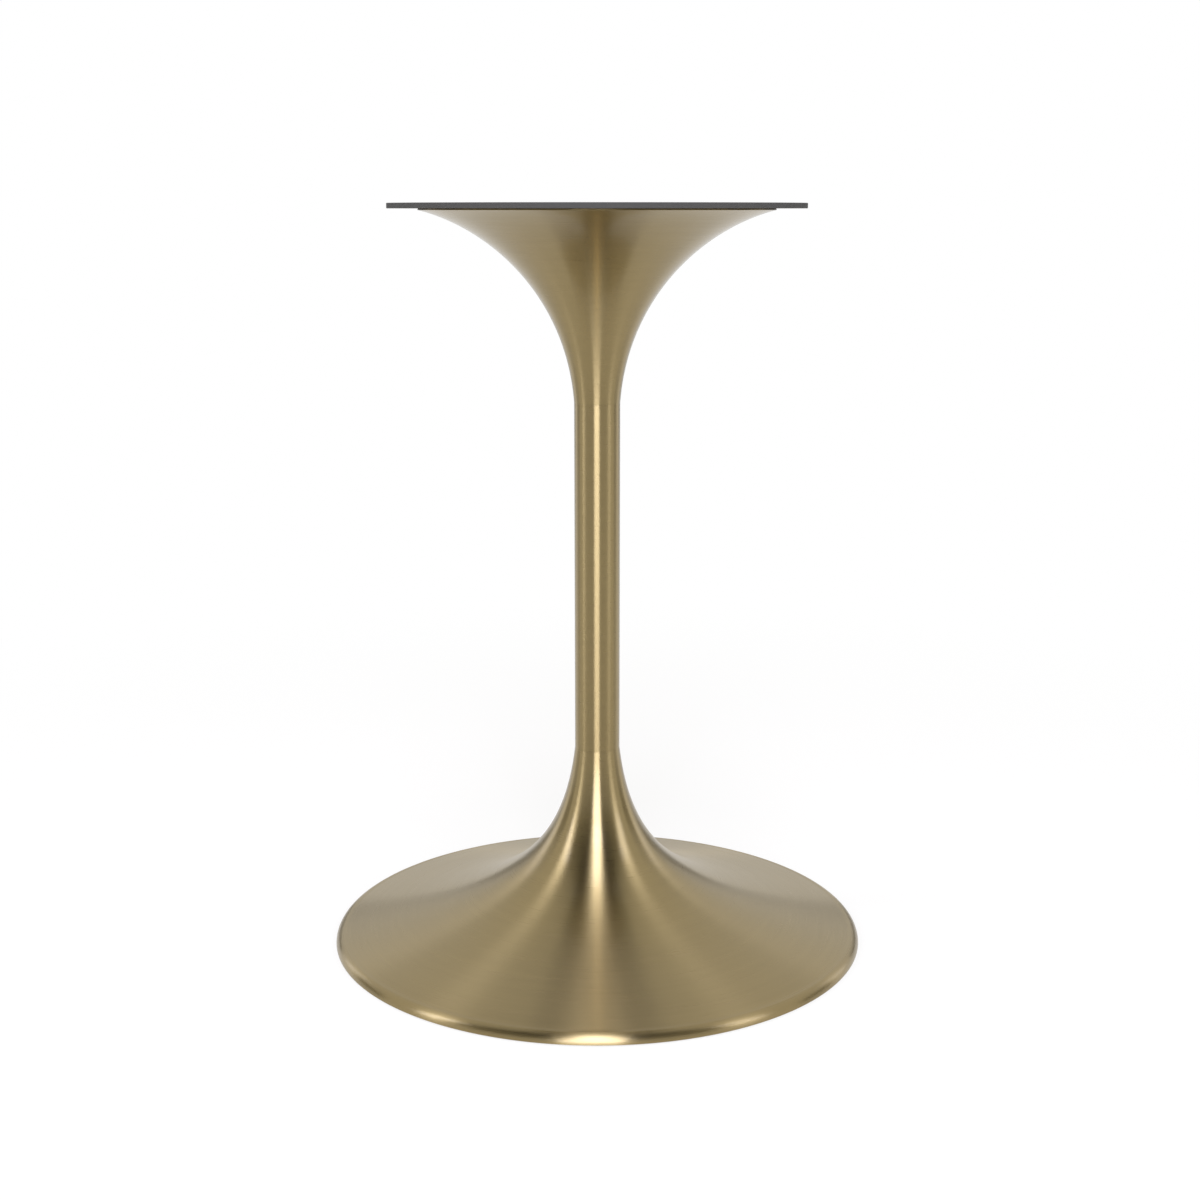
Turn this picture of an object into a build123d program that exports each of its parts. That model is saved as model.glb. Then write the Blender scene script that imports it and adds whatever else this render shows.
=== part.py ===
# Pedestal table base: a spun flared foot, a straight column and a flared top under a round plate.
# All sizes are in millimetres. The origin is on the floor, on the axis of the column, with +Z up.

import math
import os

from build123d import *

# Overall height, from the floor to the face that the tabletop lies on
TOTAL_HEIGHT = 720.0

# Plate under the tabletop
PLATE_RADIUS = 195.0
PLATE_THICKNESS = 5.0
PLATE_EDGE_CHAMFER = 0.4
TABLETOP_HOLE_COUNT = 6
TABLETOP_HOLE_RADIUS = 3.25
TABLETOP_HOLE_EDGE_DISTANCE = 14.0

# Straight column that shows between foot and trumpet
COLUMN_RADIUS = 22.0
COLUMN_WALL = 2.0

# Spun foot: the meridian runs from the neck to a crease, then rolls down as a quarter round
FOOT_RADIUS = 262.0
FOOT_NECK_HEIGHT = 194.0
FOOT_SHEET = 1.5
FOOT_EDGE_RADIUS = 9.3
FOOT_FLOOR_GAP = 1.0
FOOT_NECK_LEAN = 6.5
FOOT_CREASE_SLOPE = 13.5
FOOT_NECK_REACH = 0.719
FOOT_CREASE_REACH = 0.619

# Spun trumpet under the plate: the same kind of meridian, ending in a plain sheet edge
TRUMPET_RIM_RADIUS = 166.5
TRUMPET_HEIGHT = 181.0
TRUMPET_SHEET = 1.5
TRUMPET_NECK_LEAN = 4.2
TRUMPET_RIM_SLOPE = 13.9
TRUMPET_NECK_REACH = 0.5685
TRUMPET_RIM_REACH = 0.466

# Core tube that carries the load inside the column
CORE_WALL = 2.5

# Tie rod with its nut and washer
ROD_RADIUS = 6.0
ROD_END_CHAMFER = 1.0
ROD_STICK_OUT = 2.0
ROD_END_GAP = 1.0
NUT_ACROSS_FLATS = 18.0
NUT_THICKNESS = 10.8
NUT_CORNER_CHAMFER = 0.8
WASHER_RADIUS = 12.0
WASHER_THICKNESS = 2.5

# Turned hubs that hold the ends of the core tube
HUB_FLANGE_RADIUS = 50.0
HUB_FLANGE_THICKNESS = 14.0
HUB_WALL = 9.5
HUB_SOCKET_DEPTH = 30.0
HUB_CORNER_RADIUS = 3.0
HUB_EDGE_CHAMFER = 1.0
BASE_HUB_THREAD_LENGTH = 20.0
PLATE_HUB_WEB = 10.0
NUT_RECESS_DEPTH = 13.5
NUT_RECESS_RADIUS = 16.0

# Countersunk screws that hold each hub to its plate
HUB_SCREW_COUNT = 4
HUB_SCREW_EDGE_DISTANCE = 12.0
SCREW_RADIUS = 4.0
SCREW_LENGTH = 16.0
SCREW_HEAD_RADIUS = 7.6
SCREW_HEAD_ANGLE = 90.0
SCREW_SOCKET_ACROSS_FLATS = 5.0
SCREW_SOCKET_DEPTH = 2.5
SCREW_HOLE_SPARE_DEPTH = 2.0

# Plastic rings that line the shells up on the core tube
RING_LENGTH = 32.0
RING_WALL = 2.3
RING_EDGE_CHAMFER = 0.6

# Steel disc that weights the foot, and the glides that it stands on
BASE_PLATE_THICKNESS = 6.0
BASE_PLATE_EDGE_GAP = 2.0
BASE_PLATE_CHAMFER = 0.8
GLIDE_COUNT = 6
GLIDE_RADIUS = 16.0
GLIDE_EDGE_DISTANCE = 12.7
GLIDE_STEM_RADIUS = 4.0
GLIDE_STEM_LENGTH = 5.0
GLIDE_EDGE_FILLET = 0.8

# Clearances: between a curved piece and its seat, for a thread, and under the foot shell
FIT_CLEARANCE = 0.1
THREAD_CLEARANCE = 0.1
SCREW_CLEARANCE = 0.25
SEAT_CLEARANCE = 0.3

# Radii and heights that follow from the sizes above
TABLETOP_HOLE_CIRCLE_RADIUS = PLATE_RADIUS - TABLETOP_HOLE_EDGE_DISTANCE
RING_OUTER_RADIUS = COLUMN_RADIUS - COLUMN_WALL - FIT_CLEARANCE
CORE_RADIUS = RING_OUTER_RADIUS - RING_WALL - FIT_CLEARANCE
HUB_SCREW_CIRCLE_RADIUS = HUB_FLANGE_RADIUS - HUB_SCREW_EDGE_DISTANCE
PLATE_UNDERSIDE = TOTAL_HEIGHT - PLATE_THICKNESS
TRUMPET_NECK_HEIGHT = PLATE_UNDERSIDE - TRUMPET_HEIGHT
FOOT_CREASE_RADIUS = FOOT_RADIUS - FOOT_EDGE_RADIUS
FOOT_CREASE_HEIGHT = FOOT_FLOOR_GAP + FOOT_EDGE_RADIUS
FOOT_SLOPE_RADIANS = math.radians(FOOT_CREASE_SLOPE)
BASE_PLATE_RADIUS = FOOT_CREASE_RADIUS - BASE_PLATE_EDGE_GAP
GLIDE_CIRCLE_RADIUS = BASE_PLATE_RADIUS - GLIDE_EDGE_DISTANCE - GLIDE_RADIUS
BASE_PLATE_TOP = (
    FOOT_CREASE_HEIGHT
    + BASE_PLATE_EDGE_GAP * math.tan(FOOT_SLOPE_RADIANS)
    - FOOT_SHEET / math.cos(FOOT_SLOPE_RADIANS)
    - SEAT_CLEARANCE
)
BASE_PLATE_BOTTOM = BASE_PLATE_TOP - BASE_PLATE_THICKNESS
HUB_BOSS_RADIUS = CORE_RADIUS + FIT_CLEARANCE + HUB_WALL
BASE_SOCKET_FLOOR = BASE_PLATE_TOP + BASE_HUB_THREAD_LENGTH
BASE_HUB_TOP = BASE_SOCKET_FLOOR + HUB_SOCKET_DEPTH
NUT_RECESS_FLOOR = PLATE_UNDERSIDE - NUT_RECESS_DEPTH
PLATE_SOCKET_ROOF = NUT_RECESS_FLOOR - PLATE_HUB_WEB
PLATE_HUB_BOTTOM = PLATE_SOCKET_ROOF - HUB_SOCKET_DEPTH
NUT_BOTTOM = NUT_RECESS_FLOOR + WASHER_THICKNESS
ROD_BOTTOM = BASE_PLATE_TOP + ROD_END_GAP
ROD_TOP = NUT_BOTTOM + NUT_THICKNESS + ROD_STICK_OUT

FULL_TURN = 360
HALF_TURN = 180
RIGHT_ANGLE = 90
HEXAGON_SIDES = 6
INNER_LINE_STEPS = 12

# Faces that the hub screws are set into, with their normals outwards
PLATE_TOP_FACE = Plane.XY.offset(TOTAL_HEIGHT)
BASE_BOTTOM_FACE = Plane(origin=(0, 0, BASE_PLATE_BOTTOM), x_dir=(1, 0, 0), z_dir=(0, 0, -1))
BASE_HUB_BOTTOM_FACE = BASE_BOTTOM_FACE.offset(-BASE_PLATE_THICKNESS)

os.makedirs("parts", exist_ok=True)


def save(piece, name):
    """Label a finished piece and write it under the same name."""
    piece.part.label = name
    export_step(piece.part, f"parts/{name}.step")


def point_along(start, reach, degrees_from_up):
    """Point at a distance from start, in a direction measured from straight up towards +X."""
    angle = math.radians(degrees_from_up)
    return (start[0] + reach * math.sin(angle), start[1] + reach * math.cos(angle))


def inner_line(outer, sheet):
    """Spline on the inner side of a sheet, which lies to the right of its outer line."""
    points = []
    for step in range(INNER_LINE_STEPS + 1):
        tangent = outer % (step / INNER_LINE_STEPS)
        points.append(outer @ (step / INNER_LINE_STEPS) + Vector(tangent.Y, -tangent.X) * sheet)
    return Spline(points, tangents=(outer % 0, outer % 1))


# Foot shell
foot_neck = (COLUMN_RADIUS, FOOT_NECK_HEIGHT)
foot_crease = (FOOT_CREASE_RADIUS, FOOT_CREASE_HEIGHT)
foot_edge_centre = (FOOT_CREASE_RADIUS, FOOT_FLOOR_GAP)
foot_neck_handle = point_along(
    foot_neck,
    FOOT_NECK_REACH * (FOOT_NECK_HEIGHT - FOOT_CREASE_HEIGHT),
    HALF_TURN - FOOT_NECK_LEAN,
)
foot_crease_handle = point_along(
    foot_crease,
    FOOT_CREASE_REACH * (FOOT_CREASE_RADIUS - COLUMN_RADIUS),
    FOOT_CREASE_SLOPE - RIGHT_ANGLE,
)
with BuildPart() as foot_shell:
    with BuildSketch(Plane.XZ):
        with BuildLine():
            outer = Bezier(foot_neck, foot_neck_handle, foot_crease_handle, foot_crease)
            outer_edge = CenterArc(foot_edge_centre, FOOT_EDGE_RADIUS, RIGHT_ANGLE, -RIGHT_ANGLE)
            inner = inner_line(outer, FOOT_SHEET)
            CenterArc(foot_crease, FOOT_SHEET, -RIGHT_ANGLE - FOOT_CREASE_SLOPE, FOOT_CREASE_SLOPE)
            inner_edge = CenterArc(
                foot_edge_centre, FOOT_EDGE_RADIUS - FOOT_SHEET, RIGHT_ANGLE, -RIGHT_ANGLE
            )
            Line(outer @ 0, inner @ 0)
            Line(outer_edge @ 1, inner_edge @ 1)
        make_face()
    revolve(axis=Axis.Z, revolution_arc=FULL_TURN)
save(foot_shell, "foot_shell")

# Trumpet, drawn from the rim down, whose inner edge touches the underside of the plate
trumpet_slope = math.radians(TRUMPET_RIM_SLOPE)
trumpet_neck = (COLUMN_RADIUS, TRUMPET_NECK_HEIGHT)
trumpet_rim = (TRUMPET_RIM_RADIUS, PLATE_UNDERSIDE - TRUMPET_SHEET * math.cos(trumpet_slope))
trumpet_neck_handle = point_along(
    trumpet_neck,
    TRUMPET_NECK_REACH * (trumpet_rim[1] - TRUMPET_NECK_HEIGHT),
    TRUMPET_NECK_LEAN,
)
trumpet_rim_handle = point_along(
    trumpet_rim,
    TRUMPET_RIM_REACH * (TRUMPET_RIM_RADIUS - COLUMN_RADIUS),
    -RIGHT_ANGLE - TRUMPET_RIM_SLOPE,
)
with BuildPart() as top_trumpet:
    with BuildSketch(Plane.XZ):
        with BuildLine():
            outer = Bezier(trumpet_rim, trumpet_rim_handle, trumpet_neck_handle, trumpet_neck)
            inner = inner_line(outer, TRUMPET_SHEET)
            Line(outer @ 0, inner @ 0)
            Line(outer @ 1, inner @ 1)
        make_face()
    revolve(axis=Axis.Z, revolution_arc=FULL_TURN)
save(top_trumpet, "top_trumpet")

# Column tube
with BuildPart() as column_tube:
    with BuildSketch(Plane.XY.offset(FOOT_NECK_HEIGHT)):
        Circle(COLUMN_RADIUS)
        Circle(COLUMN_RADIUS - COLUMN_WALL, mode=Mode.SUBTRACT)
    extrude(amount=TRUMPET_NECK_HEIGHT - FOOT_NECK_HEIGHT)
save(column_tube, "column_tube")

# Core tube, which stands in the sockets of the two hubs
with BuildPart() as core_tube:
    with BuildSketch(Plane.XY.offset(BASE_SOCKET_FLOOR)):
        Circle(CORE_RADIUS)
        Circle(CORE_RADIUS - CORE_WALL, mode=Mode.SUBTRACT)
    extrude(amount=PLATE_SOCKET_ROOF - BASE_SOCKET_FLOOR)
save(core_tube, "core_tube")


def centring_ring(seam_height, name):
    """Plastic ring round the core tube that reaches to both sides of a seam in the shells."""
    with BuildPart() as ring:
        with BuildSketch(Plane.XY.offset(seam_height - RING_LENGTH / 2)):
            Circle(RING_OUTER_RADIUS)
            Circle(CORE_RADIUS + FIT_CLEARANCE, mode=Mode.SUBTRACT)
        extrude(amount=RING_LENGTH)
        outer_edges = ring.edges().filter_by(GeomType.CIRCLE).group_by(SortBy.RADIUS)[-1]
        chamfer(outer_edges, length=RING_EDGE_CHAMFER)
    save(ring, name)


centring_ring(FOOT_NECK_HEIGHT, "lower_centring_ring")
centring_ring(TRUMPET_NECK_HEIGHT, "upper_centring_ring")

# Mounting plate
with BuildPart() as mounting_plate:
    with BuildSketch(Plane.XY.offset(PLATE_UNDERSIDE)):
        Circle(PLATE_RADIUS)
        Circle(NUT_RECESS_RADIUS, mode=Mode.SUBTRACT)
    extrude(amount=PLATE_THICKNESS)
    rim_edges = mounting_plate.edges().filter_by(GeomType.CIRCLE).group_by(SortBy.RADIUS)[-1]
    chamfer(rim_edges, length=PLATE_EDGE_CHAMFER)
    with Locations(PLATE_TOP_FACE):
        with PolarLocations(TABLETOP_HOLE_CIRCLE_RADIUS, TABLETOP_HOLE_COUNT):
            Hole(TABLETOP_HOLE_RADIUS)
        with PolarLocations(HUB_SCREW_CIRCLE_RADIUS, HUB_SCREW_COUNT):
            CounterSinkHole(
                SCREW_RADIUS + SCREW_CLEARANCE,
                SCREW_HEAD_RADIUS + SCREW_CLEARANCE,
                depth=PLATE_THICKNESS,
                counter_sink_angle=SCREW_HEAD_ANGLE,
            )
save(mounting_plate, "mounting_plate")

# Hub under the mounting plate
with BuildPart() as plate_hub:
    with BuildSketch(Plane.XY.offset(PLATE_UNDERSIDE)):
        Circle(HUB_FLANGE_RADIUS)
    extrude(amount=-HUB_FLANGE_THICKNESS)
    with BuildSketch(Plane.XY.offset(PLATE_HUB_BOTTOM)):
        Circle(HUB_BOSS_RADIUS)
    extrude(amount=PLATE_UNDERSIDE - HUB_FLANGE_THICKNESS - PLATE_HUB_BOTTOM)
    boss_edges = plate_hub.edges().filter_by(GeomType.CIRCLE).group_by(SortBy.RADIUS)[0]
    fillet(boss_edges.sort_by(Axis.Z)[-1], radius=HUB_CORNER_RADIUS)
    chamfer(plate_hub.edges().sort_by(Axis.Z)[0], length=HUB_EDGE_CHAMFER)
    with BuildSketch(Plane.XY.offset(PLATE_HUB_BOTTOM)):
        Circle(CORE_RADIUS + FIT_CLEARANCE)
    extrude(amount=HUB_SOCKET_DEPTH, mode=Mode.SUBTRACT)
    with Locations(Plane.XY.offset(PLATE_UNDERSIDE)):
        CounterBoreHole(ROD_RADIUS + THREAD_CLEARANCE, NUT_RECESS_RADIUS, NUT_RECESS_DEPTH)
        with PolarLocations(HUB_SCREW_CIRCLE_RADIUS, HUB_SCREW_COUNT):
            Hole(
                SCREW_RADIUS + THREAD_CLEARANCE,
                depth=SCREW_LENGTH - PLATE_THICKNESS + SCREW_HOLE_SPARE_DEPTH,
            )
save(plate_hub, "plate_hub")

# Hub on the base plate
with BuildPart() as base_hub:
    with BuildSketch(Plane.XY.offset(BASE_PLATE_TOP)):
        Circle(HUB_FLANGE_RADIUS)
    extrude(amount=HUB_FLANGE_THICKNESS)
    with BuildSketch(Plane.XY.offset(BASE_PLATE_TOP + HUB_FLANGE_THICKNESS)):
        Circle(HUB_BOSS_RADIUS)
    extrude(amount=BASE_HUB_TOP - BASE_PLATE_TOP - HUB_FLANGE_THICKNESS)
    boss_edges = base_hub.edges().filter_by(GeomType.CIRCLE).group_by(SortBy.RADIUS)[0]
    fillet(boss_edges.sort_by(Axis.Z)[0], radius=HUB_CORNER_RADIUS)
    chamfer(base_hub.edges().sort_by(Axis.Z)[-1], length=HUB_EDGE_CHAMFER)
    with BuildSketch(Plane.XY.offset(BASE_SOCKET_FLOOR)):
        Circle(CORE_RADIUS + FIT_CLEARANCE)
    extrude(amount=HUB_SOCKET_DEPTH, mode=Mode.SUBTRACT)
    with Locations(BASE_HUB_BOTTOM_FACE):
        Hole(ROD_RADIUS + THREAD_CLEARANCE, depth=BASE_HUB_THREAD_LENGTH)
        with PolarLocations(HUB_SCREW_CIRCLE_RADIUS, HUB_SCREW_COUNT):
            Hole(
                SCREW_RADIUS + THREAD_CLEARANCE,
                depth=SCREW_LENGTH - BASE_PLATE_THICKNESS + SCREW_HOLE_SPARE_DEPTH,
            )
save(base_hub, "base_hub")

# Base plate
with BuildPart() as base_plate:
    with BuildSketch(Plane.XY.offset(BASE_PLATE_BOTTOM)):
        Circle(BASE_PLATE_RADIUS)
    extrude(amount=BASE_PLATE_THICKNESS)
    chamfer(base_plate.edges().sort_by(Axis.Z)[0], length=BASE_PLATE_CHAMFER)
    with Locations(BASE_BOTTOM_FACE):
        with PolarLocations(GLIDE_CIRCLE_RADIUS, GLIDE_COUNT):
            Hole(GLIDE_STEM_RADIUS + FIT_CLEARANCE, depth=BASE_PLATE_THICKNESS)
        with PolarLocations(HUB_SCREW_CIRCLE_RADIUS, HUB_SCREW_COUNT):
            CounterSinkHole(
                SCREW_RADIUS + SCREW_CLEARANCE,
                SCREW_HEAD_RADIUS + SCREW_CLEARANCE,
                depth=BASE_PLATE_THICKNESS,
                counter_sink_angle=SCREW_HEAD_ANGLE,
            )
save(base_plate, "base_plate")

# Tie rod
with BuildPart() as tie_rod:
    with BuildSketch(Plane.XY.offset(ROD_BOTTOM)):
        Circle(ROD_RADIUS)
    extrude(amount=ROD_TOP - ROD_BOTTOM)
    chamfer(tie_rod.edges().filter_by(GeomType.CIRCLE), length=ROD_END_CHAMFER)
save(tie_rod, "tie_rod")

# Nut with its corners turned off at both ends
with BuildPart() as tie_nut:
    with BuildSketch(Plane.XY.offset(NUT_BOTTOM)):
        Circle(NUT_ACROSS_FLATS / math.sqrt(3))
    extrude(amount=NUT_THICKNESS)
    chamfer(tie_nut.edges().filter_by(GeomType.CIRCLE), length=NUT_CORNER_CHAMFER)
    with BuildSketch(Plane.XY.offset(NUT_BOTTOM)):
        RegularPolygon(NUT_ACROSS_FLATS / 2, HEXAGON_SIDES, major_radius=False)
    extrude(amount=NUT_THICKNESS, mode=Mode.INTERSECT)
    with Locations(Plane.XY.offset(NUT_BOTTOM + NUT_THICKNESS)):
        Hole(ROD_RADIUS + THREAD_CLEARANCE, depth=NUT_THICKNESS)
save(tie_nut, "tie_nut")

# Washer
with BuildPart() as tie_washer:
    with BuildSketch(Plane.XY.offset(NUT_RECESS_FLOOR)):
        Circle(WASHER_RADIUS)
        Circle(ROD_RADIUS + SCREW_CLEARANCE, mode=Mode.SUBTRACT)
    extrude(amount=WASHER_THICKNESS)
save(tie_washer, "tie_washer")


def hub_screws(face_plane, name):
    """Countersunk screws with hexagon sockets, set flush in a face and pointing into it."""
    head_depth = (SCREW_HEAD_RADIUS - SCREW_RADIUS) / math.tan(
        math.radians(SCREW_HEAD_ANGLE / 2)
    )
    head_down = (Align.CENTER, Align.CENTER, Align.MAX)
    with BuildPart(face_plane) as screws:
        with PolarLocations(HUB_SCREW_CIRCLE_RADIUS, HUB_SCREW_COUNT):
            Cylinder(SCREW_RADIUS, SCREW_LENGTH, align=head_down)
            Cone(SCREW_RADIUS, SCREW_HEAD_RADIUS, head_depth, align=head_down)
        with BuildSketch(face_plane):
            with PolarLocations(HUB_SCREW_CIRCLE_RADIUS, HUB_SCREW_COUNT):
                RegularPolygon(SCREW_SOCKET_ACROSS_FLATS / 2, HEXAGON_SIDES, major_radius=False)
        extrude(amount=-SCREW_SOCKET_DEPTH, mode=Mode.SUBTRACT)
    save(screws, name)


hub_screws(PLATE_TOP_FACE, "plate_screws")
hub_screws(BASE_BOTTOM_FACE, "base_screws")

# Glides: a low round pad with a stem that is pressed into the base plate
with BuildPart() as glides:
    with BuildSketch():
        with PolarLocations(GLIDE_CIRCLE_RADIUS, GLIDE_COUNT):
            Circle(GLIDE_RADIUS)
    extrude(amount=BASE_PLATE_BOTTOM)
    fillet(glides.edges().group_by(Axis.Z)[0], radius=GLIDE_EDGE_FILLET)
    with BuildSketch(Plane.XY.offset(BASE_PLATE_BOTTOM)):
        with PolarLocations(GLIDE_CIRCLE_RADIUS, GLIDE_COUNT):
            Circle(GLIDE_STEM_RADIUS)
    extrude(amount=GLIDE_STEM_LENGTH)
save(glides, "glides")
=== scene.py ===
# %% [markdown]
# Pedestal table base in brushed brass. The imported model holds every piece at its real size, and this
# lesson dresses it: the spun shells are drawn again as smooth surfaces, the plate gets its holes and
# soft edges, the tie rod gets its thread, each finish gets its own nodes, and the studio lights draw
# the bright lines that a turned and brushed surface shows. Lengths are in metres.

# %% Load the frame
import math

import bmesh
import bpy
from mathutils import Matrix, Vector


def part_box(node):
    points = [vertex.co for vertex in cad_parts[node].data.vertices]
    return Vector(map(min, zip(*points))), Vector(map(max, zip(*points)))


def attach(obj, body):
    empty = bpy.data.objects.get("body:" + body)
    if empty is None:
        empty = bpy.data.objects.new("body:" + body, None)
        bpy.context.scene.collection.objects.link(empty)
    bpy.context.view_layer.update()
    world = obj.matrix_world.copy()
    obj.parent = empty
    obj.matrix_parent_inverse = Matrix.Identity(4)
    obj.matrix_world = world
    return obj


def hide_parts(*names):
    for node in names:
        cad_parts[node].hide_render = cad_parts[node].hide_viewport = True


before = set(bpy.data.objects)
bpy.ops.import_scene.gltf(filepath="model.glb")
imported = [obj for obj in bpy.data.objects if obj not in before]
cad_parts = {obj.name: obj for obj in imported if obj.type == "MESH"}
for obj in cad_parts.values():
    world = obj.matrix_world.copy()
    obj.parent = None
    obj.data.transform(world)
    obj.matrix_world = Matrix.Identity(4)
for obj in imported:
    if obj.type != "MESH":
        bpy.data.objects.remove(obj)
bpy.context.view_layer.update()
MM = 0.001
print("nodes in the frame:", ", ".join(sorted(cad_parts)))

# %% [markdown]
# The camera comes first, because everything is compared through it. Its place was worked out from
# the two ellipses in the photograph, the plate's and the foot's: it stands at the height of the
# mounting plate, so the plate shows edge on, and it looks down a little. A camera in Blender looks
# along its own -Z, so a turn of 90 degrees about X looks level and a smaller turn looks down.

# %% Camera
CAMERA_DISTANCE = 1.7165
CAMERA_HEIGHT = 0.71446
CAMERA_SIDE = 0.0027
CAMERA_PITCH_DEGREES = 12.24
CAMERA_LENS_MM = 54.07
SENSOR_MM = 36.0


def link(item):
    """Put an object in the scene and return it."""
    bpy.context.scene.collection.objects.link(item)
    return item


def add_camera():
    """Camera in front of the base, looking along +Y and slightly down."""
    data = bpy.data.cameras.new("photo_camera")
    data.sensor_fit = "HORIZONTAL"
    data.sensor_width = SENSOR_MM
    data.lens = CAMERA_LENS_MM
    item = link(bpy.data.objects.new("photo_camera", data))
    item.location = (CAMERA_SIDE, -CAMERA_DISTANCE, CAMERA_HEIGHT)
    item.rotation_euler = (math.radians(90 - CAMERA_PITCH_DEGREES), 0, 0)
    bpy.context.scene.camera = item
    return item


camera = add_camera()
print("camera at", [round(value, 4) for value in camera.location])

# %% [markdown]
# Small helpers keep every node tree below readable: one feeds a socket with a number or with the
# output of another node, one adds a node with its settings and inputs, one writes arithmetic, and
# one opens a group with named inputs and outputs.

# %% Node helpers


def feed(tree, socket, value):
    """Link an output to a socket, or set the socket to a plain value."""
    if isinstance(value, bpy.types.NodeSocket):
        tree.links.new(value, socket)
    else:
        socket.default_value = value


def add_node(tree, kind, inputs=None, **settings):
    """Add a node, apply its settings, and feed its inputs by name or by index."""
    node = tree.nodes.new(kind)
    for name, value in settings.items():
        setattr(node, name, value)
    for key, value in (inputs or {}).items():
        feed(tree, node.inputs[key], value)
    return node


def maths(tree, operation, *values):
    """One arithmetic node; returns its output."""
    numbered = dict(enumerate(values))
    return add_node(tree, "ShaderNodeMath", numbered, operation=operation).outputs[0]


def open_tree(name, kind, inputs, outputs):
    """Node tree with named inputs (name, type, value) and outputs (name, type)."""
    tree = bpy.data.node_groups.new(name, kind)
    for label, socket_type, value in inputs:
        socket = tree.interface.new_socket(label, in_out="INPUT", socket_type=socket_type)
        if value is not None:
            socket.default_value = value
    for label, socket_type in outputs:
        tree.interface.new_socket(label, in_out="OUTPUT", socket_type=socket_type)
    given = tree.nodes.new("NodeGroupInput").outputs
    result = tree.nodes.new("NodeGroupOutput").inputs
    return tree, given, result


# %% [markdown]
# A turned and brushed surface carries fine grooves that run round the axis. Their pattern hardly
# changes round the circle and changes very fast along the profile, so noise is looked up at
# (radius, height, cosine, sine) with large factors on the first two and small ones on the last
# two. Cosine and sine stand for the angle, because an angle would leave a seam where it jumps from
# half a turn to minus half a turn. The group is used by the brass and by the turned steel.

# %% Shader group: grooves round the axis
GROOVES_PER_METRE = 2600.0
BANDS_PER_METRE = 180.0
CHANGE_ROUND_CIRCLE = 2.0
GROOVE_DETAIL, BAND_DETAIL = 3.0, 2.0
SMALLEST_RADIUS = 0.01 * MM


def turned_grain_group():
    """Group that returns fine grooves and wider bands, both between 0 and 1."""
    tree, given, result = open_tree(
        "turned_grain",
        "ShaderNodeTree",
        [
            ("Grooves per metre", "NodeSocketFloat", GROOVES_PER_METRE),
            ("Bands per metre", "NodeSocketFloat", BANDS_PER_METRE),
            ("Change round the circle", "NodeSocketFloat", CHANGE_ROUND_CIRCLE),
        ],
        [("Groove", "NodeSocketFloat"), ("Band", "NodeSocketFloat")],
    )
    place = add_node(tree, "ShaderNodeTexCoord").outputs["Object"]
    across, away, up = add_node(tree, "ShaderNodeSeparateXYZ", {0: place}).outputs
    square = maths(tree, "MULTIPLY_ADD", across, across, maths(tree, "MULTIPLY", away, away))
    radius = maths(tree, "MAXIMUM", maths(tree, "SQRT", square), SMALLEST_RADIUS)
    change = given["Change round the circle"]
    cosine = maths(tree, "MULTIPLY", maths(tree, "DIVIDE", across, radius), change)
    sine = maths(tree, "MULTIPLY", maths(tree, "DIVIDE", away, radius), change)
    for output, scale, detail in (
        ("Groove", given["Grooves per metre"], GROOVE_DETAIL),
        ("Band", given["Bands per metre"], BAND_DETAIL),
    ):
        along = maths(tree, "MULTIPLY", radius, scale)
        rise = maths(tree, "MULTIPLY", up, scale)
        lookup = add_node(tree, "ShaderNodeCombineXYZ", {"X": along, "Y": rise, "Z": cosine})
        noise = add_node(
            tree,
            "ShaderNodeTexNoise",
            {"Vector": lookup.outputs[0], "W": sine, "Scale": 1.0, "Detail": detail},
            noise_dimensions="4D",
        )
        tree.links.new(noise.outputs["Fac"], result[output])
    return tree


turned_grain = turned_grain_group()
print("group", turned_grain.name, "made")

# %% [markdown]
# Every finish below starts the same way: a material with its own Principled BSDF, whose plain
# numbers are set on the sockets. A look then says its colour and how much that swings, its
# roughness and how far that spreads, and how deep and strong its relief is. One helper feeds the
# three from noise, which lies mostly between 0.3 and 0.7.

# %% Material helpers
FINISHES = {}
NOISE_LOW, NOISE_HIGH = 0.3, 0.7


def new_material(name, **plain):
    """Material with nodes, its tree and its Principled BSDF; plain numbers go on the sockets."""
    material = bpy.data.materials.new(name)
    material.use_nodes = True
    tree = material.node_tree
    shader = next(node for node in tree.nodes if node.type == "BSDF_PRINCIPLED")
    for label, value in plain.items():
        shader.inputs[label.replace("_", " ")].default_value = value
    FINISHES[name] = material
    return material, tree, shader


def shade_between(tree, factor, colour, spread):
    """Colour that swings a little darker and lighter than the given one with a factor."""
    mix = add_node(tree, "ShaderNodeMix", {"Factor": factor}, data_type="RGBA")
    dark, light = [socket for socket in mix.inputs if socket.type == "RGBA"][:2]
    dark.default_value = [value * (1 - spread) for value in colour] + [1.0]
    light.default_value = [value * (1 + spread) for value in colour] + [1.0]
    return next(socket for socket in mix.outputs if socket.type == "RGBA")


def swing(tree, factor, middle, spread):
    """Number that swings about a middle value as noise goes from its low to its high."""
    given = {"Value": factor, "From Min": NOISE_LOW, "From Max": NOISE_HIGH}
    given.update({"To Min": middle - spread, "To Max": middle + spread})
    return add_node(tree, "ShaderNodeMapRange", given).outputs["Result"]


def dress(tree, shader, look, shade_noise, gloss_noise, relief_noise):
    """Colour, roughness and relief of a look, each swung by a noise between 0 and 1."""
    colour = shade_between(tree, shade_noise, look["colour"], look["shade"])
    feed(tree, shader.inputs["Base Color"], colour)
    feed(tree, shader.inputs["Roughness"], swing(tree, gloss_noise, look["roughness"], look["spread"]))
    relief = {"Height": relief_noise, "Strength": look["strength"], "Distance": look["depth"]}
    feed(tree, shader.inputs["Normal"], add_node(tree, "ShaderNodeBump", relief).outputs["Normal"])


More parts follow.
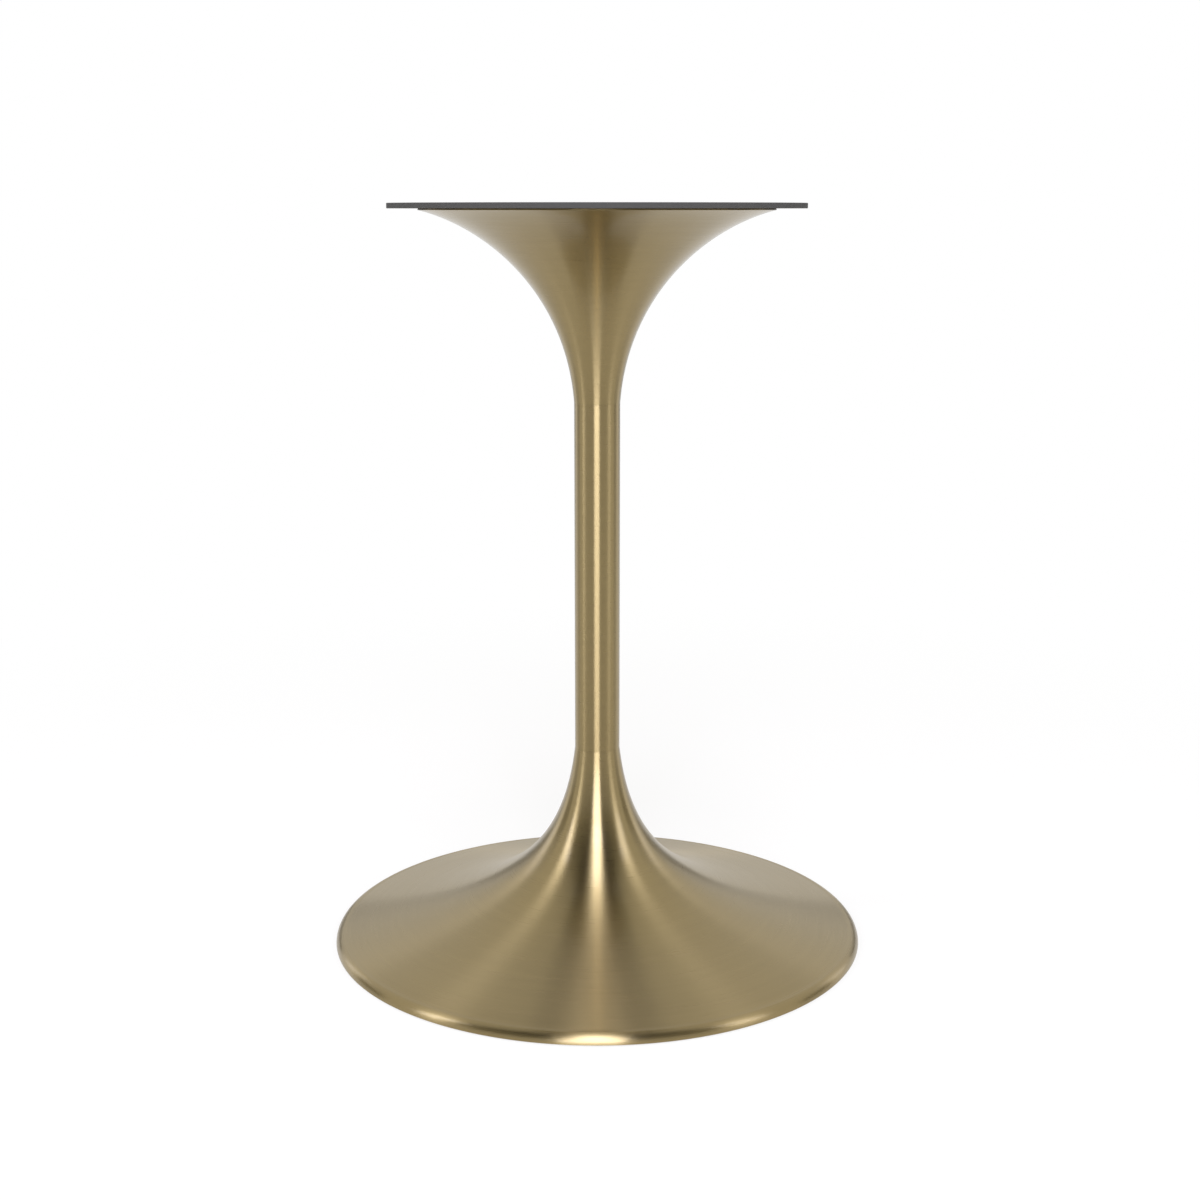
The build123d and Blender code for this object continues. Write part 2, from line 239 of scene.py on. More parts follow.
# %% [markdown]
# Brushed brass. The colour is the metal's own, a touch darker and lighter from band to band, and
# the grooves change the gloss and the normal. Light that falls on grooves spreads across them and
# stays sharp along them, which is why every lamp draws a line up the column and down the foot. In
# the Principled BSDF that is Anisotropic. Its Tangent is made from the place on the surface: up
# crossed with the place gives the direction of the grooves, and a quarter turn on Anisotropic
# Rotation makes the light spread across them. The coat is the thin lacquer that keeps brass bright.

# %% Brushed brass
BRASS = dict(
    colour=(0.285, 0.216, 0.097), shade=0.05, roughness=0.3, spread=0.03, depth=0.018 * MM, strength=1.0
)
LACQUER_WEIGHT, LACQUER_ROUGHNESS = 0.3, 0.18
QUARTER_TURN = 0.25
UP = (0.0, 0.0, 1.0)


def groove_direction(tree):
    """Direction of the grooves, round the axis."""
    place = add_node(tree, "ShaderNodeTexCoord").outputs["Object"]
    across = add_node(tree, "ShaderNodeVectorMath", {0: UP, 1: place}, operation="CROSS_PRODUCT")
    return across.outputs[0]


def brushed_brass():
    """Satin brass, brushed round the axis."""
    material, tree, shader = new_material(
        "lacquered_brass",
        Metallic=1.0,
        Anisotropic=1.0,
        Anisotropic_Rotation=QUARTER_TURN,
        Coat_Weight=LACQUER_WEIGHT,
        Coat_Roughness=LACQUER_ROUGHNESS,
    )
    groove, band = add_node(tree, "ShaderNodeGroup", node_tree=turned_grain).outputs
    dress(tree, shader, BRASS, band, groove, groove)
    feed(tree, shader.inputs["Tangent"], groove_direction(tree))
    return material


brass = brushed_brass()
print("material", brass.name, "made")

# %% [markdown]
# The spun shells. Each is a line in a plane turned round the axis, so Geometry Nodes build it by
# rule: a grid of points is bent round, where one grid direction is the angle and the other runs
# along the line. The Screw modifier would also turn a line, but here the line's own sizes are
# named inputs of the tree. The straight and curved stretches are turned one by one and merged, so
# that the crease between them stays sharp. The line runs upwards, so that the faces look outwards.

# %% Geometry group: turn a line round the axis
AROUND = 288
ALONG_SWEEP = 96


def turn_group():
    """Group that turns a curve in the XZ plane round the Z axis."""
    tree, given, result = open_tree(
        "turn_round",
        "GeometryNodeTree",
        [
            ("Line", "NodeSocketGeometry", None),
            ("Around", "NodeSocketInt", AROUND),
            ("Along", "NodeSocketInt", ALONG_SWEEP),
        ],
        [("Surface", "NodeSocketGeometry")],
    )
    grid = add_node(
        tree,
        "GeometryNodeMeshGrid",
        {
            "Size X": 1.0,
            "Size Y": 1.0,
            "Vertices X": maths(tree, "ADD", given["Around"], 1.0),
            "Vertices Y": maths(tree, "ADD", given["Along"], 1.0),
        },
    )
    place = add_node(tree, "GeometryNodeInputPosition").outputs[0]
    across, along, _ = add_node(tree, "ShaderNodeSeparateXYZ", {0: place}).outputs
    angle = maths(tree, "MULTIPLY", maths(tree, "ADD", across, 0.5), math.tau)
    sample = add_node(
        tree, "GeometryNodeSampleCurve", {"Curves": given["Line"]}, mode="FACTOR", use_all_curves=True
    )
    feed(tree, sample.inputs["Factor"], maths(tree, "ADD", along, 0.5))
    sampled = sample.outputs["Position"]
    radius, _, height = add_node(tree, "ShaderNodeSeparateXYZ", {0: sampled}).outputs
    bent = add_node(
        tree,
        "ShaderNodeCombineXYZ",
        {
            "X": maths(tree, "MULTIPLY", radius, maths(tree, "COSINE", angle)),
            "Y": maths(tree, "MULTIPLY", radius, maths(tree, "SINE", angle)),
            "Z": height,
        },
    )
    moved = add_node(
        tree, "GeometryNodeSetPosition", {"Geometry": grid.outputs["Mesh"], "Position": bent.outputs[0]}
    )
    feed(tree, result["Surface"], moved.outputs[0])
    return tree


turn_round = turn_group()
print("group", turn_round.name, "made")

# %% [markdown]
# Each spun sheet is one Bezier curve: it leaves the column almost straight and reaches the rim at a
# shallow slope. The same four numbers draw both the foot and the trumpet: the lean at the neck, the
# slope at the rim, and how far each handle reaches. The foot then rolls down in a quarter round.
# Radii and heights come from the frame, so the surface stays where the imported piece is.

# %% Sizes of the shells
SHEET = 1.5 * MM
FOOT_EDGE_RADIUS = 9.3 * MM
# lean at the neck and slope at the rim in degrees, reach of the neck's and of the rim's handle
FOOT_SWEEP = (6.5, 13.5, 0.719, 0.619)
TRUMPET_SWEEP = (4.2, 13.9, 0.5685, 0.466)
UPWARDS, DOWNWARDS = 1, -1

column_low, column_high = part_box("column_tube")
foot_low, foot_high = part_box("foot_shell")
trumpet_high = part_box("top_trumpet")[1]
plate_low, plate_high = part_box("mounting_plate")
COLUMN_RADIUS = column_high[0]
FOOT_RADIUS = foot_high[0]
TRUMPET_RIM_RADIUS = trumpet_high[0]
print("radii of column, foot and trumpet:", COLUMN_RADIUS, FOOT_RADIUS, TRUMPET_RIM_RADIUS)


def sweep_handles(neck, rim, away, sweep):
    """Handles of a spun sheet that leaves its neck upwards or downwards."""
    lean, slope = math.radians(sweep[0]), math.radians(sweep[1])
    neck_reach, rim_reach = sweep[2:]
    neck_length = neck_reach * abs(rim.z - neck.z)
    rim_length = rim_reach * (rim.x - neck.x)
    neck_handle = neck + neck_length * Vector((math.sin(lean), 0, away * math.cos(lean)))
    rim_handle = rim - rim_length * Vector((math.cos(slope), 0, away * math.sin(slope)))
    return neck_handle, rim_handle


# %% [markdown]
# A shell's tree draws its line, turns each stretch of it, joins the stretches and merges their
# touching edges. The foot has a second stretch, the quarter round: an arc is drawn flat, stood
# upright and moved until it starts at the rim. The helpers that turn, join and close serve the
# plate and the tie rod later on as well.

# %% Geometry tree: a spun sheet
ALONG_EDGE = 14
SWEEP_POINTS, EDGE_POINTS = 256, 48
MERGE_DISTANCE = 0.001 * MM


def turn_line(tree, line, around, along):
    """Surface of a line turned round the axis, by the group above."""
    given = {"Line": line, "Around": around, "Along": along}
    return add_node(tree, "GeometryNodeGroup", given, node_tree=turn_round).outputs[0]


def joined(tree, pieces):
    """Join pieces of geometry into one."""
    join = tree.nodes.new("GeometryNodeJoinGeometry")
    for piece in pieces:
        tree.links.new(piece, join.inputs[0])
    return join.outputs[0]


def close_up(tree, result, pieces, finish):
    """Merge the touching edges, give the finish, and put the piece out as real geometry."""
    given = {"Geometry": joined(tree, pieces), "Distance": MERGE_DISTANCE}
    merged = add_node(tree, "GeometryNodeMergeByDistance", given)
    given = {"Geometry": merged.outputs[0], "Material": finish}
    finished = add_node(tree, "GeometryNodeSetMaterial", given)
    real = add_node(tree, "GeometryNodeRealizeInstances", {0: finished.outputs[0]})
    feed(tree, result, real.outputs[0])


def edge_line(tree, given):
    """Quarter round that starts at the outside, pointing up, and ends on top at the crease."""
    radius = given["Edge radius"]
    sizes = {"Resolution": EDGE_POINTS, "Radius": radius, "Start Angle": 0.0, "Sweep Angle": math.pi / 2}
    arc = add_node(tree, "GeometryNodeCurveArc", sizes, mode="RADIUS")
    upright = add_node(
        tree, "GeometryNodeTransform", {"Geometry": arc.outputs[0], "Rotation": (math.pi / 2, 0.0, 0.0)}
    )
    drop = add_node(tree, "ShaderNodeCombineXYZ", {"Z": maths(tree, "MULTIPLY", radius, -1.0)})
    centre = add_node(
        tree, "ShaderNodeVectorMath", {0: given["Start"], 1: drop.outputs[0]}, operation="ADD"
    )
    placed = add_node(
        tree, "GeometryNodeTransform", {"Geometry": upright.outputs[0], "Translation": centre.outputs[0]}
    )
    return placed.outputs[0]


def shell_tree(name, with_edge):
    """Tree for a spun sheet: one Bezier stretch and, for the foot, the rolled edge below it."""
    ends = ("Start", "Start handle", "End handle", "End")
    inputs = [(label, "NodeSocketVector", None) for label in ends]
    inputs.append(("Edge radius", "NodeSocketFloat", 0.0))
    inputs.append(("Around", "NodeSocketInt", AROUND))
    inputs.append(("Along", "NodeSocketInt", ALONG_SWEEP))
    inputs.append(("Finish", "NodeSocketMaterial", None))
    tree, given, result = open_tree(name, "GeometryNodeTree", inputs, [("Shell", "NodeSocketGeometry")])
    sweep = add_node(
        tree,
        "GeometryNodeCurvePrimitiveBezierSegment",
        {
            "Resolution": SWEEP_POINTS,
            "Start": given["Start"],
            "Start Handle": given["Start handle"],
            "End Handle": given["End handle"],
            "End": given["End"],
        },
    )
    stretches = [turn_line(tree, sweep.outputs[0], given["Around"], given["Along"])]
    if with_edge:
        stretches.append(turn_line(tree, edge_line(tree, given), given["Around"], ALONG_EDGE))
    close_up(tree, result["Shell"], stretches, given["Finish"])
    return tree


foot_tree = shell_tree("spun_foot", True)
sheet_tree = shell_tree("spun_sheet", False)
print("trees:", foot_tree.name, "and", sheet_tree.name)

# %% [markdown]
# A tree makes nothing until a modifier runs it on an object. A modifier's input is set by the
# identifier of its socket, because two sockets may share a name. Solidify then gives the sheet its
# thickness towards the inside, and Bevel breaks the cut edges. Reading the evaluated mesh back into
# a plain one applies them all, so no modifier is left on the finished piece.

# %% From a tree to a finished piece
CREASE_DEGREES = 12.0
CUT_EDGE_BREAK = 0.08 * MM
CUT_EDGE_DEGREES = 50.0


def set_inputs(modifier, values):
    """Set a Geometry Nodes modifier's inputs by their labels, through their identifiers."""
    for item in modifier.node_group.interface.items_tree:
        if item.item_type == "SOCKET" and item.in_out == "INPUT" and item.name in values:
            modifier[item.identifier] = values[item.name]


def node_object(name, tree, values):
    """Object whose mesh is made by a Geometry Nodes tree with the given inputs."""
    item = link(bpy.data.objects.new(name, bpy.data.meshes.new(name)))
    modifier = item.modifiers.new("build", "NODES")
    modifier.node_group = tree
    set_inputs(modifier, values)
    return item


def give_thickness(item, thickness):
    """Solidify towards the inside, then break the cut edges."""
    wall = item.modifiers.new("wall", "SOLIDIFY")
    wall.thickness = thickness
    wall.offset = -1.0
    wall.use_even_offset = True
    soft = item.modifiers.new("edge break", "BEVEL")
    soft.limit_method = "ANGLE"
    soft.angle_limit = math.radians(CUT_EDGE_DEGREES)
    soft.width = CUT_EDGE_BREAK
    soft.segments = 2


def settle(item, sharp_degrees):
    """Turn an object with modifiers into a plain mesh, and print how large and how closed it is."""
    depsgraph = bpy.context.evaluated_depsgraph_get()
    mesh = bpy.data.meshes.new_from_object(item.evaluated_get(depsgraph), depsgraph=depsgraph)
    item.modifiers.clear()
    item.data = mesh
    mesh.shade_smooth()
    mesh.set_sharp_from_angle(angle=math.radians(sharp_degrees))
    work = bmesh.new()
    work.from_mesh(mesh)
    open_edges = sum(1 for edge in work.edges if not edge.is_manifold)
    volume = work.calc_volume(signed=True) / MM**3
    work.free()
    print(f"{item.name}: {len(mesh.polygons)} faces, {open_edges} open edges, {volume:.0f} mm3")
    return item


def take_place(item, node):
    """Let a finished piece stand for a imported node."""
    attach(item, "root")
    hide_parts(node)
    return item


def spun_shell(name, node, tree, line, wall, along):
    """Spun sheet from its tree, thickened, settled and put in its node's place."""
    start, start_handle, end_handle, end = line
    values = {"Start": start, "Start handle": start_handle, "End handle": end_handle, "End": end}
    values.update({"Edge radius": FOOT_EDGE_RADIUS, "Around": AROUND, "Along": along, "Finish": brass})
    item = node_object(name, tree, values)
    give_thickness(item, wall)
    settle(item, CREASE_DEGREES)
    return take_place(item, node)


# %% [markdown]
# The foot's line runs up from the crease at its rim to the column. The trumpet's runs up from the
# column to the plate, where the sheet's top edge meets the plate's underside.

# %% Foot
foot_neck = Vector((COLUMN_RADIUS, 0, column_low[2]))
foot_rim = Vector((FOOT_RADIUS - FOOT_EDGE_RADIUS, 0, foot_low[2] + FOOT_EDGE_RADIUS))
neck_handle, rim_handle = sweep_handles(foot_neck, foot_rim, DOWNWARDS, FOOT_SWEEP)
foot_line = (foot_rim, rim_handle, neck_handle, foot_neck)
spun_shell("foot", "foot_shell", foot_tree, foot_line, SHEET, ALONG_SWEEP)

# %% Trumpet
trumpet_neck = Vector((COLUMN_RADIUS, 0, column_high[2]))
sheet_height = SHEET * math.cos(math.radians(TRUMPET_SWEEP[1]))
trumpet_rim = Vector((TRUMPET_RIM_RADIUS, 0, plate_low[2] - sheet_height))
neck_handle, rim_handle = sweep_handles(trumpet_neck, trumpet_rim, UPWARDS, TRUMPET_SWEEP)
trumpet_line = (trumpet_neck, neck_handle, rim_handle, trumpet_rim)
spun_shell("trumpet", "top_trumpet", sheet_tree, trumpet_line, SHEET, ALONG_SWEEP)

# %% [markdown]
# The column is a plain tube, so its line is straight and the same tree draws it: the handles lie on
# the line between the two ends.

# %% Column
COLUMN_WALL = 2.0 * MM
ALONG_TUBE = 12
column_bottom = Vector((COLUMN_RADIUS, 0, column_low[2]))
column_top = Vector((COLUMN_RADIUS, 0, column_high[2]))
column_line = [column_bottom.lerp(column_top, third / 3) for third in range(4)]
spun_shell("column", "column_tube", sheet_tree, column_line, COLUMN_WALL, ALONG_TUBE)

# %% [markdown]
# The plate and the disc under the foot are steel with a dark powder coat. Powder melts into a skin
# with a fine orange peel, so the bump is a smooth noise with cells of about a millimetre, and a
# second, finer noise gives the faint speckle of a satin coat.

# %% Powder coat
POWDER = dict(
    colour=(0.058, 0.056, 0.049), shade=0.12, roughness=0.75, spread=0.05, depth=0.05 * MM, strength=0.25
)
POWDER_GLOSS_LEVEL = 0.15
PEEL_CELLS, SPECKLE_CELLS = 900.0, 3000.0


def object_noise(tree, scale, detail):
    """Noise at places on the object; scale is in cells per metre."""
    place = add_node(tree, "ShaderNodeTexCoord").outputs["Object"]
    given = {"Vector": place, "Scale": scale, "Detail": detail}
    return add_node(tree, "ShaderNodeTexNoise", given).outputs["Fac"]


def powder_coat():
    """Dark satin powder coat with orange peel."""
    gloss = POWDER_GLOSS_LEVEL
    material, tree, shader = new_material("powder_coat", Metallic=0.0, Specular_IOR_Level=gloss)
    peel = object_noise(tree, PEEL_CELLS, 1.0)
    speckle = object_noise(tree, SPECKLE_CELLS, 2.0)
    dress(tree, shader, POWDER, speckle, peel, peel)
    return material


print("material", powder_coat().name, "made")

# %% [markdown]
# The inner pieces each have their own workshop finish. The hubs are turned on a lathe, whose marks
# run round the axis as the brush's do, so they reuse the group that the brass uses, with fewer and
# deeper grooves. The core tube is drawn through a die, which leaves marks along its length: noise
# stretched along Z. A thin scale makes the drawn steel cloudy.

# %% Turned steel
TURNED = dict(
    colour=(0.5, 0.5, 0.49), shade=0.08, roughness=0.34, spread=0.08, depth=0.1 * MM, strength=0.3
)
LATHE_MARKS_PER_METRE = 1800.0
LATHE_STREAK = 0.6


def turned_steel():
    """Bare steel with lathe marks round the axis."""
    material, tree, shader = new_material(
        "turned_steel", Metallic=1.0, Anisotropic=LATHE_STREAK, Anisotropic_Rotation=QUARTER_TURN
    )
    given = {"Grooves per metre": LATHE_MARKS_PER_METRE}
    groove, band = add_node(tree, "ShaderNodeGroup", given, node_tree=turned_grain).outputs
    dress(tree, shader, TURNED, band, groove, groove)
    feed(tree, shader.inputs["Tangent"], groove_direction(tree))
    return material


print("material", turned_steel().name, "made")

# %% Drawn steel
DRAWN = dict(
    colour=(0.42, 0.415, 0.41), shade=0.15, roughness=0.42, spread=0.08, depth=0.05 * MM, strength=0.3
)
DRAWN_MARK_CELLS = (900.0, 900.0, 12.0)
STEEL_SCALE_CELLS = 60.0


def drawn_steel():
    """Steel tube with fine marks along its length and a thin brown-grey scale."""
    material, tree, shader = new_material("drawn_steel", Metallic=1.0)
    place = add_node(tree, "ShaderNodeTexCoord").outputs["Object"]
    stretched = add_node(tree, "ShaderNodeMapping", {"Vector": place, "Scale": DRAWN_MARK_CELLS})
    given = {"Vector": stretched.outputs[0], "Scale": 1.0, "Detail": 3.0}
    marks = add_node(tree, "ShaderNodeTexNoise", given).outputs["Fac"]
    cloud = object_noise(tree, STEEL_SCALE_CELLS, 4.0)
    dress(tree, shader, DRAWN, cloud, marks, marks)
    return material


print("material", drawn_steel().name, "made")

# %% [markdown]
# Zinc plating on the screws, rod, nut and washer is pale and slightly cloudy. The centring rings
# and the glides are moulded plastic, whose mould was spark-eroded and left a fine even texture.

# %% Zinc
ZINC = dict(
    colour=(0.62, 0.61, 0.58), shade=0.06, roughness=0.3, spread=0.07, depth=0.03 * MM, strength=0.1
)
ZINC_CLOUD_CELLS, ZINC_GRAIN_CELLS = 260.0, 1500.0


def zinc():
    """Zinc plating: pale, slightly cloudy metal."""
    material, tree, shader = new_material("zinc", Metallic=1.0)
    cloud = object_noise(tree, ZINC_CLOUD_CELLS, 3.0)
    dress(tree, shader, ZINC, cloud, cloud, object_noise(tree, ZINC_GRAIN_CELLS, 2.0))
    return material


print("material", zinc().name, "made")

# %% Moulded plastic
MOULDED = dict(shade=0.06, spread=0.06, depth=0.04 * MM, strength=0.25)
RING_PLASTIC = dict(MOULDED, colour=(0.78, 0.77, 0.73), roughness=0.45)
GLIDE_PLASTIC = dict(MOULDED, colour=(0.03, 0.03, 0.031), roughness=0.5)
SPARK_CELLS = 1600.0


def moulded_plastic(name, look):
    """Moulded plastic with a fine spark-eroded texture."""
    material, tree, shader = new_material(name, Metallic=0.0)
    texture = object_noise(tree, SPARK_CELLS, 2.0)
    dress(tree, shader, look, texture, texture, texture)
    return material


moulded_plastic("ring_plastic", RING_PLASTIC)
moulded_plastic("glide_plastic", GLIDE_PLASTIC)
print("finishes:", ", ".join(sorted(FINISHES)))

# %% [markdown]
# The mounting plate is a sawn and drilled disc. A drill does the same thing at every hole, so the
# tree says it once: one group makes the wall of a hole, from its mouth on the top face to the broken
# edge below, and the rings in which that wall meets the two faces. Points on a circle carry the
# copies. Fill Curve then spans a flat face between the rim and all the rings, which leaves the holes
# open. Boolean cuts would do too, but here every edge is where the drill would leave it.

# %% Geometry helpers for turned and drilled pieces


def turned_steps(tree, outline, around):
    """Turn each straight step between (radius, height) corners round the axis."""
    corners = [add_node(tree, "ShaderNodeCombineXYZ", {"X": x, "Z": z}).outputs[0] for x, z in outline]
    surfaces = []
    for start, end in zip(corners, corners[1:]):
        ends = {"Start": start, "End": end}
        step = add_node(tree, "GeometryNodeCurvePrimitiveLine", ends, mode="POINTS").outputs[0]
        surfaces.append(turn_line(tree, step, around, 1))
    return surfaces


def ring(tree, radius, around):
    """Circle as a curve, with as many points as the turned wall that it meets."""
    given = {"Radius": radius, "Resolution": around}
    return add_node(tree, "GeometryNodeCurvePrimitiveCircle", given, mode="RADIUS").outputs["Curve"]


def copies_on_circle(tree, piece, count, circle_radius):
    """Copies of a piece on a circle, the first on +X."""
    places = add_node(
        tree, "GeometryNodeMeshCircle", {"Vertices": count, "Radius": circle_radius}, fill_type="NONE"
    )
    given = {"Points": places.outputs[0], "Instance": piece}
    placed = add_node(tree, "GeometryNodeInstanceOnPoints", given)
    return add_node(tree, "GeometryNodeRealizeInstances", {0: placed.outputs[0]}).outputs[0]


def flat_face(tree, rings, height):
    """Flat face at a height, between the rim and the rings of the holes."""
    filled = add_node(tree, "GeometryNodeFillCurve", {0: joined(tree, rings)})
    lift = add_node(tree, "ShaderNodeCombineXYZ", {"Z": height}).outputs[0]
    given = {"Geometry": filled.outputs[0], "Translation": lift}
    return add_node(tree, "GeometryNodeTransform", given).outputs[0]


def flipped(tree, face):
    """The same face, looking the other way."""
    return add_node(tree, "GeometryNodeFlipFaces", {0: face}).outputs[0]


# %% Geometry group: one drilled hole
AROUND_HOLE = 48


def hole_group():
    """Wall of a drilled hole with a 45 degree mouth, and the rings where it meets the faces."""
    labels = ("Hole radius", "Mouth radius", "Edge break", "Bottom", "Top")
    inputs = [(label, "NodeSocketFloat", 0.0) for label in labels]
    inputs.append(("Around", "NodeSocketInt", AROUND_HOLE))
    outputs = [(label, "NodeSocketGeometry") for label in ("Wall", "Top ring", "Bottom ring")]
    tree, given, result = open_tree("drilled_hole", "GeometryNodeTree", inputs, outputs)
    mouth, hole, broken = given["Mouth radius"], given["Hole radius"], given["Edge break"]
    mouth_depth = maths(tree, "SUBTRACT", mouth, hole)
    mouth_floor = maths(tree, "SUBTRACT", given["Top"], mouth_depth)
    exit_radius = maths(tree, "ADD", hole, broken)
    exit_height = maths(tree, "ADD", given["Bottom"], broken)
    outline = [
        (mouth, given["Top"]),
        (hole, mouth_floor),
        (hole, exit_height),
        (exit_radius, given["Bottom"]),
    ]
    feed(tree, result["Wall"], joined(tree, turned_steps(tree, outline, given["Around"])))
    feed(tree, result["Top ring"], ring(tree, mouth, given["Around"]))
    feed(tree, result["Bottom ring"], ring(tree, exit_radius, given["Around"]))
    return tree


drilled_hole = hole_group()
print("group", drilled_hole.name, "made")

# %% [markdown]
# The plate has three kinds of drilling: the recess over the nut in the middle, six holes near the
# rim for the tabletop, and four countersunk holes for the screws into the hub.

# %% Geometry tree: the mounting plate
TABLETOP_HOLES, SCREW_HOLES = 6, 4
AROUND_RIM, AROUND_RECESS = 288, 96


def plate_tree():
    """Disc with a recess in the middle and two rings of holes."""
    labels = ("Plate radius", "Bottom", "Top", "Edge break", "Hole edge break", "Recess radius")
    labels += ("Tabletop hole radius", "Tabletop circle radius")
    labels += ("Screw hole radius", "Screw mouth radius", "Screw circle radius")
    inputs = [(label, "NodeSocketFloat", 0.0) for label in labels]
    inputs.append(("Tabletop holes", "NodeSocketInt", TABLETOP_HOLES))
    inputs.append(("Screw holes", "NodeSocketInt", SCREW_HOLES))
    inputs.append(("Finish", "NodeSocketMaterial", None))
    outputs = [("Plate", "NodeSocketGeometry")]
    tree, given, result = open_tree("mounting_plate", "GeometryNodeTree", inputs, outputs)
    radius, bottom, top = given["Plate radius"], given["Bottom"], given["Top"]
    broken = given["Edge break"]
    inner = maths(tree, "SUBTRACT", radius, broken)
    low_corner, high_corner = maths(tree, "ADD", bottom, broken), maths(tree, "SUBTRACT", top, broken)
    rim = [(inner, bottom), (radius, low_corner), (radius, high_corner), (inner, top)]
    walls = turned_steps(tree, rim, AROUND_RIM)
    top_rings, bottom_rings = [ring(tree, inner, AROUND_RIM)], [ring(tree, inner, AROUND_RIM)]
    hole_break = given["Hole edge break"]
    recess, tabletop = given["Recess radius"], given["Tabletop hole radius"]
    screw, screw_mouth = given["Screw hole radius"], given["Screw mouth radius"]
    recess_mouth = maths(tree, "ADD", recess, hole_break)
    tabletop_mouth = maths(tree, "ADD", tabletop, hole_break)
    tabletop_copies = (given["Tabletop holes"], given["Tabletop circle radius"])
    screw_copies = (given["Screw holes"], given["Screw circle radius"])
    drillings = (
        (recess, recess_mouth, AROUND_RECESS, None),
        (tabletop, tabletop_mouth, AROUND_HOLE, tabletop_copies),
        (screw, screw_mouth, AROUND_HOLE, screw_copies),
    )
    for hole_radius, mouth, around, copies in drillings:
        sizes = {"Hole radius": hole_radius, "Mouth radius": mouth, "Edge break": hole_break}
        sizes.update({"Bottom": bottom, "Top": top, "Around": around})
        parts = list(add_node(tree, "GeometryNodeGroup", sizes, node_tree=drilled_hole).outputs)
        if copies:
            parts = [copies_on_circle(tree, part, *copies) for part in parts]
        walls.append(parts[0])
        top_rings.append(parts[1])
        bottom_rings.append(parts[2])
    top_face = flat_face(tree, top_rings, top)
    bottom_face = flipped(tree, flat_face(tree, bottom_rings, bottom))
    close_up(tree, result["Plate"], walls + [top_face, bottom_face], given["Finish"])
    return tree


mounting_plate = plate_tree()
print("tree", mounting_plate.name, "made")

# %% Mounting plate
PLATE_EDGE_BREAK, HOLE_EDGE_BREAK = 0.4 * MM, 0.3 * MM
RECESS_RADIUS = 16.0 * MM
TABLETOP_HOLE_RADIUS = 3.25 * MM
TABLETOP_HOLE_EDGE_DISTANCE = 14.0 * MM
SCREW_HOLE_RADIUS, SCREW_MOUTH_RADIUS = 4.25 * MM, 7.85 * MM
SCREW_CIRCLE_RADIUS = 38.0 * MM
FLAT_TO_WALL_DEGREES = 30.0

plate = node_object(
    "plate",
    mounting_plate,
    {
        "Plate radius": plate_high[0],
        "Bottom": plate_low[2],
        "Top": plate_high[2],
        "Edge break": PLATE_EDGE_BREAK,
        "Hole edge break": HOLE_EDGE_BREAK,
        "Recess radius": RECESS_RADIUS,
        "Tabletop hole radius": TABLETOP_HOLE_RADIUS,
        "Tabletop circle radius": plate_high[0] - TABLETOP_HOLE_EDGE_DISTANCE,
        "Tabletop holes": TABLETOP_HOLES,
        "Screw hole radius": SCREW_HOLE_RADIUS,
        "Screw mouth radius": SCREW_MOUTH_RADIUS,
        "Screw circle radius": SCREW_CIRCLE_RADIUS,
        "Screw holes": SCREW_HOLES,
        "Finish": FINISHES["powder_coat"],
    },
)
settle(plate, FLAT_TO_WALL_DEGREES)
take_place(plate, "mounting_plate")

# %% [markdown]
# The tie rod is a plain bar with a thread cut on each end. A thread is a surface too: its radius
# falls and rises once per pitch, and the pattern climbs by one pitch per turn. So a fine grid is
# bent round the axis, and its radius is worked out from the height less the share of the turn. The
# thread fades out where the die stopped, and a chamfer takes the first turn down to the core.

# %% Geometry group: a threaded stretch
AROUND_ROD = 48


